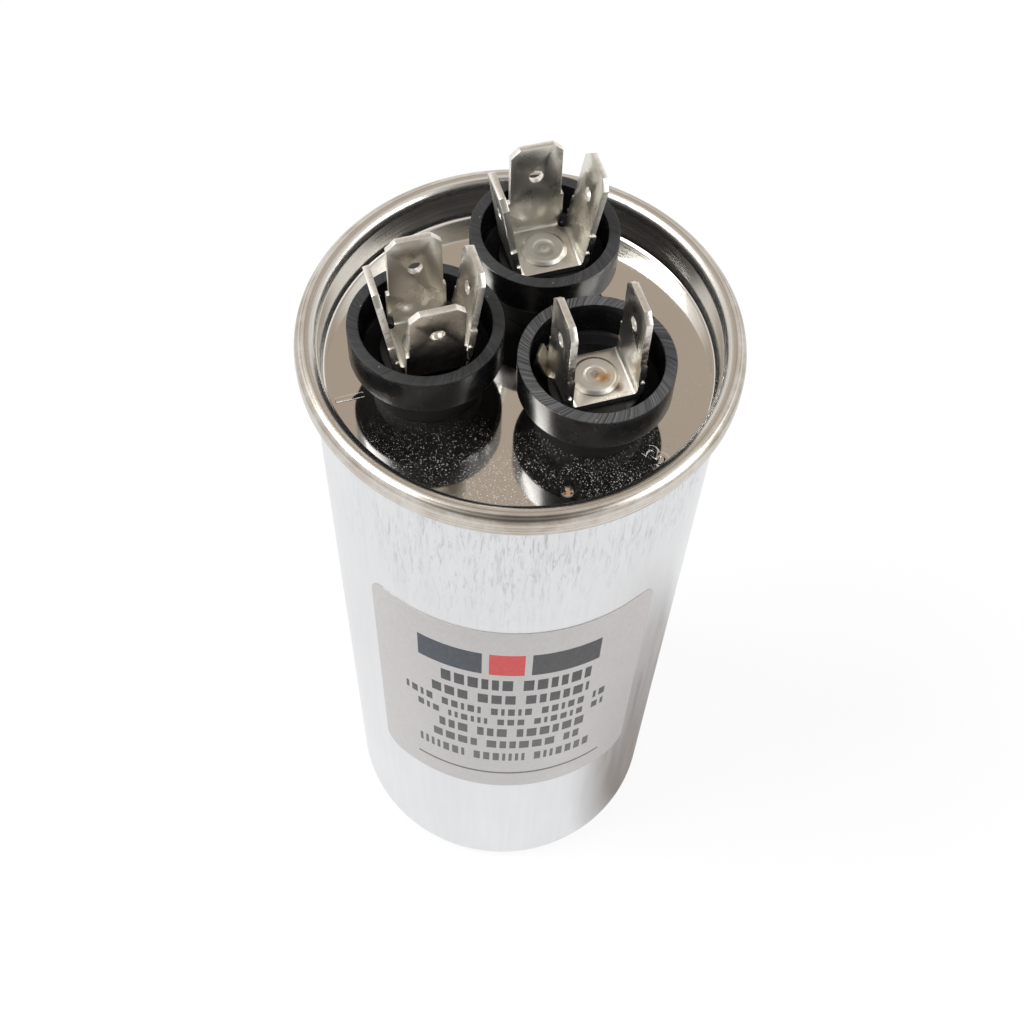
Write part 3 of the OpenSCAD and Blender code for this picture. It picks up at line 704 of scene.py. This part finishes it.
class CAPACITOR_OT_numerals(bpy.types.Operator):
    """Emboss a plain number on the panel beside each terminal"""

    bl_idname = "capacitor.numerals"
    bl_label = "Raised numbers"

    def execute(self, context):
        s = context.scene.capacitor_sizes
        metal = bpy.data.materials["bright_tinplate"]
        panel = LID_TOP - s.lid_depth
        places = {"1": (-179, 21.3 * MM), "2": (58, 21.4 * MM), "3": (-58, 21.3 * MM)}
        for text, (turn, reach) in places.items():
            deselect()
            bpy.ops.object.text_add(location=(0, 0, 0))
            obj = bpy.context.object
            obj.name = "raised_number_" + text
            font = obj.data
            font.body = text
            font.align_x = "CENTER"
            font.align_y = "CENTER"
            font.size = s.numeral_height * 1.4
            font.extrude = s.numeral_rise * 0.25
            font.offset = 0.03 * MM
            font.bevel_depth = s.numeral_rise * 0.75
            font.bevel_resolution = 3
            make_active(obj)
            bpy.ops.object.convert(target="MESH")
            angle = math.radians(turn)
            place = Matrix.Translation((reach * math.cos(angle), reach * math.sin(angle), panel)) @ \
                Matrix.Rotation(angle + math.pi / 2, 4, "Z")
            obj.data.transform(place)
            edit(obj)
            bpy.ops.mesh.remove_doubles(threshold=1e-6)
            finish_edit()
            smooth(obj, 50)
            hand_in(obj, "lid_tinplate", metal)
        return {"FINISHED"}


# The materials of the label, and the rows of its print: from and to a height in millimetres, and a kind
FILM, DARK, SLATE, RED = range(4)
PRINT_ROWS = (
    (13.8, 19.8, "mark"), (9.0, 12.2, "large"), (4.6, 7.4, "large"), (0.8, 3.0, "small"),
    (-2.6, -0.6, "small"), (-6.8, -4.0, "large"), (-11.0, -8.4, "large"),
    (-15.8, -13.0, "small"), (-21.0, -20.4, "rule"))
# The label's width in columns, and the first and last column of each kind of row
COLUMNS = 86
PRINT_SPANS = {"mark": (-30, 26), "large": (-24, 24), "small": (-32, 30), "rule": (-32, 32)}


def field_ink(i):
    """The top row: a slate field, a red one and a dark one, with bare film between them."""
    if i < -8:
        return SLATE
    if -6 <= i < 4:
        return RED
    return DARK if i >= 6 else FILM


def print_cells():
    """The ink of each printed cell, by its row's lower edge and its column."""
    random.seed(11)
    inked = {}
    for low, _, kind in PRINT_ROWS:
        first, last = PRINT_SPANS[kind]
        i = first + random.randint(0, 4)
        if kind in ("rule", "mark"):
            for k in range(i, last):
                inked[(low, k)] = field_ink(k) if kind == "mark" else DARK
            continue
        while i < last:
            for _ in range(random.randint(3, 7)):
                for _ in range(random.choice((2, 3, 3) if kind == "large" else (1, 2, 2))):
                    if i < last:
                        inked[(low, i)] = DARK
                    i += 1
                i += 1
            i += 2
    return inked


class CAPACITOR_OT_label(bpy.types.Operator):
    """Cut the label flat, lay out its fields of print, and bend it round the can"""

    bl_idname = "capacitor.label"
    bl_label = "Label"

    def execute(self, context):
        s, c = context.scene.capacitor_sizes, context.scene.capacitor_colours
        deselect()
        bpy.ops.mesh.primitive_plane_add(size=1)
        obj = bpy.context.object
        obj.name = obj.data.name = "label_sheet"
        edit(obj)
        bpy.ops.transform.resize(value=(s.label_width, s.label_height, 1))
        bpy.ops.mesh.bevel(offset=s.label_corner, segments=6, affect="VERTICES")
        column = s.label_width / COLUMNS
        edge = COLUMNS // 2
        cuts = [(1, 0, column * i) for i in range(1 - edge, edge)]
        cuts += [(0, 1, z * MM) for row in PRINT_ROWS for z in row[:2]]
        cuts += [(0, 1, z * MM) for z in (-23.5, -18, 22.5)]
        for nx, ny, at in cuts:
            bpy.ops.mesh.select_all(action="SELECT")
            bpy.ops.mesh.bisect(plane_co=(nx * at, ny * at, 0), plane_no=(nx, ny, 0))
        finish_edit()
        inked = print_cells()
        for face in obj.data.polygons:
            x, y = face.center.x, face.center.y / MM
            for low, high, _ in PRINT_ROWS:
                if low < y < high:
                    face.material_index = inked.get((low, math.floor(x / column)), FILM)
        edit(obj)
        bpy.ops.transform.rotate(value=-math.pi / 2, orient_axis="X", center_override=(0, 0, 0))
        finish_edit()
        self.wrap(obj, s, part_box("label")[1].z - s.label_height / 2)
        materials = [
            label_paint("silver_film", c.film, 0.42, 0.25, mottle=0.12),
            label_paint("dark_print", c.ink, 0.5, worn=(0.16, 0.155, 0.155)),
            label_paint("slate_print", c.slate, 0.5),
            label_paint("red_print", c.red, 0.48),
        ]
        kept = [p.material_index for p in obj.data.polygons]
        hand_in(obj, "label_film", materials, "label")
        obj.data.polygons.foreach_set("material_index", kept)
        return {"FINISHED"}

    def wrap(self, obj, s, middle):
        """Bends the flat sheet to the can's radius and gives it the film's thickness."""
        play = 0.01 * MM
        inner = s.can_radius + play
        for v in obj.data.vertices:
            angle = v.co.x / s.can_radius + s.label_turn
            v.co = Vector((inner * math.cos(angle), inner * math.sin(angle), v.co.z + middle))
        obj.data.update()
        out = obj.data.polygons[0]
        facing = Vector((out.center.x, out.center.y, 0)).dot(out.normal)
        if facing < 0:
            edit(obj)
            bpy.ops.mesh.flip_normals()
            finish_edit()
        apply_modifier(obj, "SOLIDIFY", thickness=s.label_film - play, offset=1, use_rim=True)
        smooth(obj, 30)


class CAPACITOR_OT_cups(bpy.types.Operator):
    """Spin one moulded cup and copy it to the three terminals"""

    bl_idname = "capacitor.cups"
    bl_label = "Terminal cups"

    def execute(self, context):
        s, c = context.scene.capacitor_sizes, context.scene.capacitor_colours
        ring = s.cup_radius
        bore = ring - s.cup_wall
        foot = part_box("cup_common")[0].z
        panel = LID_TOP - s.lid_depth
        groove = panel + 0.8 * MM
        neck_top = panel + 3 * MM
        band = CUP_TOP - s.cup_band
        floor = CUP_TOP - s.cup_depth
        hole, spigot, seal_in, seal_out, neck, boss = (r * MM for r in (1.7, 3.9, 4.6, 5.8, 6.5, 5.5))
        line = rounded([
            (hole, foot, 0), (spigot, foot, 0), (spigot, panel, 0), (seal_in, panel, 0),
            (seal_in, groove, 0), (seal_out, groove, 0), (seal_out, panel, 0),
            (neck, panel, 0.1 * MM), (neck, neck_top, 0.4 * MM), (ring - 0.3 * MM, band, 0),
            (ring, band), (ring, CUP_TOP), (bore, CUP_TOP),
            (bore, floor + 1 * MM, 0.3 * MM), (bore - 1 * MM, floor, 0.2 * MM),
            (boss, floor, 0.1 * MM), (boss, BOSS_TOP, 0.2 * MM), (hole, BOSS_TOP, 0)], s.edge_round)
        model = turn_round(draw_line("cup", line, closed=True), 160)
        smooth(model)
        for name, obj in at_terminals(model, "cup_moulding_"):
            if name == "fan":
                self.pocket(obj, cup_centre(name))
            hand_in(obj, "cup_black", cup_plastic(c, name, band), "cup_" + name)
        return {"FINISHED"}

    def pocket(self, obj, centre):
        """Cuts the seat of the side tab's eye and leg into the boss."""
        eye, leg, width, depth = 3.1 * MM, 6.5 * MM, 2.6 * MM, 2 * MM
        turn = math.radians(145)
        middle = (centre.x, centre.y, BOSS_TOP + 0.6 * MM)
        deselect()
        bpy.ops.mesh.primitive_cylinder_add(vertices=64, radius=eye, depth=depth, location=middle)
        cutter = bpy.context.object
        bpy.ops.mesh.primitive_cube_add(size=1)
        slot = bpy.context.object
        slot.data.transform(Matrix.Translation(middle) @ Matrix.Rotation(turn, 4, "Z") @
                            Matrix.Diagonal((leg, width, depth, 1)) @ Matrix.Translation((0.5, 0, 0)))
        for tool in (cutter, slot):
            apply_modifier(obj, "BOOLEAN", operation="DIFFERENCE", object=tool, solver="EXACT")
            bpy.data.objects.remove(tool)
        smooth(obj)


class CAPACITOR_OT_terminals(bpy.types.Operator):
    """Round the stamped edges of the three terminals and part their faces from their sheared edges"""

    bl_idname = "capacitor.terminals"
    bl_label = "Terminals"

    def execute(self, context):
        s, c = context.scene.capacitor_sizes, context.scene.capacitor_colours
        for name in TERMINALS:
            obj = copy_node("terminal_" + name, "blades_" + name)
            round_edges(obj, s.burr)
            hand_in(obj, "blade_metal", [blade_metal(c, name), cut_edge(c, name)], "terminal_" + name)
            self.part_edges(obj, cup_centre(name), one_pair=name == "fan")
        obj = copy_node("side_tab_fan", "side_tab")
        round_edges(obj, s.burr * 0.8)
        hand_in(obj, "blade_metal", plain_recipe("tinned_tab", (0.84, 0.79, 0.66), 0.4, 1.0), "side_tab_fan")
        return {"FINISHED"}

    def part_edges(self, obj, centre, one_pair):
        """Gives the sheared edges of each upright blade the second material; one pair faces along x only."""
        for face in obj.data.polygons:
            off = face.center - centre
            across = 1 if one_pair or abs(off.x) > abs(off.y) else 0
            if face.center.z < PLATE_TOP + 0.5 * MM:
                continue
            along = abs(face.normal[across])
            face.material_index = 1 if along > 0.6 or face.normal.z > 0.6 else 0


class CAPACITOR_OT_nubs(bpy.types.Operator):
    """Add the small nubs where each blade was parted from its strip"""

    bl_idname = "capacitor.nubs"
    bl_label = "Blade nubs"

    def execute(self, context):
        radius, out, along, rise = 0.3 * MM, 4.28 * MM, 3.56 * MM, 1.9 * MM
        for name in TERMINALS:
            centre = cup_centre(name)
            parts = []
            for side in (-1, 1):
                for end in (-1, 1):
                    deselect()
                    bpy.ops.mesh.primitive_ico_sphere_add(subdivisions=3, radius=radius)
                    nub = bpy.context.object
                    place = (centre.x + side * out, centre.y + end * along, PLATE_TOP + rise)
                    nub.data.transform(Matrix.Translation(place) @ Matrix.Rotation(0.5 * side, 4, "Z") @
                                       Matrix.Diagonal((0.75, 1.15, 0.85, 1)))
                    parts.append(nub)
            deselect()
            for nub in parts:
                nub.select_set(True)
            context.view_layer.objects.active = parts[0]
            bpy.ops.object.join()
            obj = context.object
            obj.name = obj.data.name = "blade_nubs_" + name
            smooth(obj, 60)
            hand_in(obj, "blade_metal", bpy.data.materials["tinned_sheet_" + name])
        return {"FINISHED"}


class CAPACITOR_OT_rivets(bpy.types.Operator):
    """Spin one rivet with its rolled head and copy it to the three terminals"""

    bl_idname = "capacitor.rivets"
    bl_label = "Rivets"

    def execute(self, context):
        c = context.scene.capacitor_colours
        low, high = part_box("rivet_common")
        foot, top = low.z, high.z
        rise = top - PLATE_TOP
        shank, disc, head = 1.6 * MM, 2.6 * MM, 2.8 * MM
        disc_top = foot + 0.6 * MM
        line = rounded([
            (0, foot, 0), (disc, foot), (disc, disc_top), (shank, disc_top, 0),
            (shank, PLATE_TOP, 0), (head, PLATE_TOP, 0), (head - 0.05 * MM, PLATE_TOP + 0.3 * rise),
            (2.3 * MM, top, 0.3 * MM), (1.4 * MM, top - 0.05 * MM, 0.3 * MM),
            (1.1 * MM, PLATE_TOP + 0.72 * rise, 0.1 * MM),
            (0.75 * MM, PLATE_TOP + 0.66 * rise), (0.35 * MM, PLATE_TOP + 0.82 * rise, 0.1 * MM),
            (0, PLATE_TOP + 0.82 * rise, 0)], 0.08 * MM)
        model = turn_round(draw_line("rivet", line), 96)
        smooth(model)
        for name, obj in at_terminals(model, "spun_rivet_"):
            hand_in(obj, "rivet_metal", rivet_metal(c, name), "rivet_" + name)
        return {"FINISHED"}


class CAPACITOR_OT_inside(bpy.types.Operator):
    """Give every piece inside the can the first finish whose word is in its name"""

    bl_idname = "capacitor.inside"
    bl_label = "Inner pieces"

    def execute(self, context):
        finishes = {
            "seal": plain_recipe("seal_rubber", (0.03, 0.03, 0.032), 0.7, 0, 900),
            "bush": plain_recipe("white_nylon", (0.78, 0.77, 0.72), 0.42, 0, 500),
            "interrupter": plain_recipe("pressed_fibre", (0.42, 0.25, 0.13), 0.75, 0, 1200, (1, 1, 0.3)),
            "lead": plain_recipe("tinned_copper", (0.74, 0.55, 0.40), 0.3, 1, 1500, (1, 1, 0.1)),
            "liner": plain_recipe("kraft_board", (0.52, 0.40, 0.26), 0.8, 0, 700, (1, 1, 0.15)),
            "bottom": plain_recipe("tray_plastic", (0.74, 0.73, 0.68), 0.5, 0, 400),
            "core": plain_recipe("core_plastic", (0.80, 0.79, 0.74), 0.45, 0, 400, (1, 1, 0.1)),
            "winding": plain_recipe("metallised_film", (0.62, 0.64, 0.68), 0.22, 1, 900, (1, 1, 0.05)),
            "wrap": plain_recipe("clear_film", (0.72, 0.75, 0.78), 0.18, 0, 500, (1, 1, 0.05)),
            "spray": plain_recipe("sprayed_zinc", (0.40, 0.41, 0.42), 0.75, 0.6, 2500),
        }
        for name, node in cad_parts.items():
            if node.hide_render:
                continue
            word = next(word for word in finishes if word in name)
            node.data.materials.clear()
            node.data.materials.append(finishes[word])
        return {"FINISHED"}


# ---------------------------------------------------------------- stage


# The camera: the level direction of its look, its tilt, its roll, its place and its lens
HEADING = math.radians(71)
TILT = math.radians(58.16)
ROLL = math.radians(2.93)
EYE_BACK, EYE_HEIGHT = 107.12 * MM, 247.72 * MM
LENS = 50.45


class CAPACITOR_OT_stage(bpy.types.Operator):
    """Set the floor, the soft lights, the cards that the metal mirrors, and the camera"""

    bl_idname = "capacitor.stage"
    bl_label = "Stage"

    def execute(self, context):
        scene = context.scene
        scene.view_settings.view_transform = "Standard"
        self.camera(scene)
        self.floor()
        self.world(scene)
        self.lamp("key_light", (-0.46, 0.10, 0.74), 0.45, 5.0)
        self.lamp("fill_light", (0.55, -0.35, 0.55), 0.50, 2.6)
        lid = Vector((0, 0, LID_TOP))
        self.card("warm_card", self.beyond(0.55), lid, 0.64, (0.455, 0.39, 0.325))
        self.card("dark_card", self.behind_camera(0.12), lid, 0.46, (0.17, 0.163, 0.138))
        side = math.radians(-20)
        foot = Vector((37 * MM * math.cos(side), 37 * MM * math.sin(side), 0.5 * MM))
        self.card("shade_card", foot, foot + Vector((0, 0, 1)), 0.06, (0.30, 0.26, 0.235))
        return {"FINISHED"}

    def heading(self):
        """The level direction in which the camera looks."""
        return Vector((math.cos(HEADING), math.sin(HEADING), 0))

    def eye(self):
        return self.heading() * -EYE_BACK + Vector((0, 0, EYE_HEIGHT))

    def beyond(self, distance):
        """A point in the direction that the lid mirrors to the camera."""
        pitch = math.radians(58)
        aim = self.heading() * math.cos(pitch) + Vector((0, 0, math.sin(pitch)))
        return Vector((0, 0, LID_TOP)) + distance * aim

    def behind_camera(self, distance):
        eye = self.eye()
        return eye + (eye - Vector((0, 0, LID_TOP))).normalized() * distance

    def camera(self, scene):
        level = self.heading()
        look = level * math.cos(TILT) - Vector((0, 0, math.sin(TILT)))
        right = level.cross(Vector((0, 0, 1))).normalized()
        up = right.cross(look)
        across = math.cos(ROLL) * right + math.sin(ROLL) * up
        over = math.cos(ROLL) * up - math.sin(ROLL) * right
        data = bpy.data.cameras.new("camera")
        data.lens = LENS
        data.clip_start = 0.01
        obj = add_object("camera", data)
        turn = Matrix((across, over, -look)).transposed().to_4x4()
        obj.matrix_world = Matrix.Translation(self.eye()) @ turn
        scene.camera = obj

    def floor(self):
        deselect()
        place = (0, 0, -0.2 * MM)
        bpy.ops.mesh.primitive_circle_add(vertices=96, radius=6, fill_type="NGON", location=place)
        obj = bpy.context.object
        obj.name = "floor"
        m = Recipe("white_floor", roughness=0.7)
        grain = m.noise(30, 3)
        m.set("Base Color", m.blend(grain, (0.88, 0.88, 0.88), (0.91, 0.91, 0.91)))
        path = m.add("ShaderNodeLightPath")
        seen = m.calc("MAXIMUM", path.outputs["Is Camera Ray"],
                      m.calc("MAXIMUM", path.outputs["Is Glossy Ray"], path.outputs["Is Transmission Ray"]))
        glow = m.add("ShaderNodeEmission", {"Color": (1, 1, 1), "Strength": 1.0})
        share = m.calc("MULTIPLY", seen, 0.85)
        mix = m.add("ShaderNodeMixShader", {0: share, 1: m.shader.outputs[0], 2: glow.outputs[0]})
        m.show(mix)
        obj.data.materials.append(m.done())
        obj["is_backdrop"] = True

    def world(self, scene):
        world = bpy.data.worlds.new("studio")
        scene.world = world
        world.use_nodes = True
        tree = world.node_tree
        back = tree.nodes["Background"]
        path = tree.nodes.new("ShaderNodeLightPath")
        first = tree.nodes.new("ShaderNodeMath")
        second = tree.nodes.new("ShaderNodeMath")
        first.operation = second.operation = "MAXIMUM"
        tree.links.new(path.outputs["Is Camera Ray"], first.inputs[0])
        tree.links.new(path.outputs["Is Glossy Ray"], first.inputs[1])
        tree.links.new(first.outputs[0], second.inputs[0])
        tree.links.new(path.outputs["Is Transmission Ray"], second.inputs[1])
        span = tree.nodes.new("ShaderNodeMapRange")
        tree.links.new(second.outputs[0], span.inputs["Value"])
        span.inputs["To Min"].default_value = 0.55
        span.inputs["To Max"].default_value = 1.0
        back.inputs["Color"].default_value = (1, 1, 1, 1)
        tree.links.new(span.outputs["Result"], back.inputs["Strength"])

    def lamp(self, name, place, size, power):
        data = bpy.data.lights.new(name, "AREA")
        data.shape = "DISK"
        data.size = size
        data.energy = power
        obj = add_object(name, data)
        aim = Vector((0, 0, 0.06)) - Vector(place)
        obj.location = place
        obj.rotation_euler = aim.to_track_quat("-Z", "Y").to_euler()

    def card(self, name, place, target, size, shade):
        """A card with a soft edge that only mirrors see, as a studio reflector."""
        deselect()
        aim = (target - place).to_track_quat("Z", "Y")
        bpy.ops.mesh.primitive_circle_add(vertices=64, radius=size / 2, fill_type="NGON",
                                          location=place, rotation=aim.to_euler())
        obj = bpy.context.object
        obj.name = name
        m = Recipe(name, roughness=0.9)
        tone = m.blend(m.noise(6, 3), scaled(shade, 0.9), scaled(shade, 1.1))
        edge = m.near((0, 0, 0), size * 0.32, size * 0.5)
        glow = m.add("ShaderNodeEmission", {"Color": m.blend(edge, (0.9, 0.9, 0.9), tone), "Strength": 1.0})
        m.show(glow)
        obj.data.materials.append(m.done())
        obj.visible_camera = obj.visible_diffuse = obj.visible_shadow = obj.visible_transmission = False
        obj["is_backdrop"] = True


class CAPACITOR_PT_panel(bpy.types.Panel):
    """Lists the steps that build the capacitor"""

    bl_label = "Capacitor"
    bl_idname = "CAPACITOR_PT_panel"
    bl_space_type = "VIEW_3D"
    bl_region_type = "UI"
    bl_category = "Capacitor"

    def draw(self, context):
        for step in STEPS:
            self.layout.operator(step.bl_idname)
        for group in (context.scene.capacitor_sizes, context.scene.capacitor_colours):
            box = self.layout.box()
            for name in group.__annotations__:
                box.prop(group, name)


STEPS = (
    CAPACITOR_OT_can, CAPACITOR_OT_lid, CAPACITOR_OT_numerals, CAPACITOR_OT_label, CAPACITOR_OT_cups,
    CAPACITOR_OT_terminals, CAPACITOR_OT_nubs, CAPACITOR_OT_rivets, CAPACITOR_OT_inside, CAPACITOR_OT_stage,
)
CLASSES = (CapacitorSizes, CapacitorColours, *STEPS, CAPACITOR_PT_panel)


def register():
    for cls in CLASSES:
        bpy.utils.register_class(cls)
    bpy.types.Scene.capacitor_sizes = bpy.props.PointerProperty(type=CapacitorSizes)
    bpy.types.Scene.capacitor_colours = bpy.props.PointerProperty(type=CapacitorColours)


def unregister():
    del bpy.types.Scene.capacitor_colours
    del bpy.types.Scene.capacitor_sizes
    for cls in reversed(CLASSES):
        bpy.utils.unregister_class(cls)


def main():
    register()
    for step in STEPS:
        group, name = step.bl_idname.split(".")
        getattr(getattr(bpy.ops, group), name)()
    deselect()
    boxes = {"cad": CAD_BOX, "visual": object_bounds()}
    sizes = {key: [list(low), list(high)] for key, (low, high) in boxes.items()}


if __name__ == "__main__":
    main()
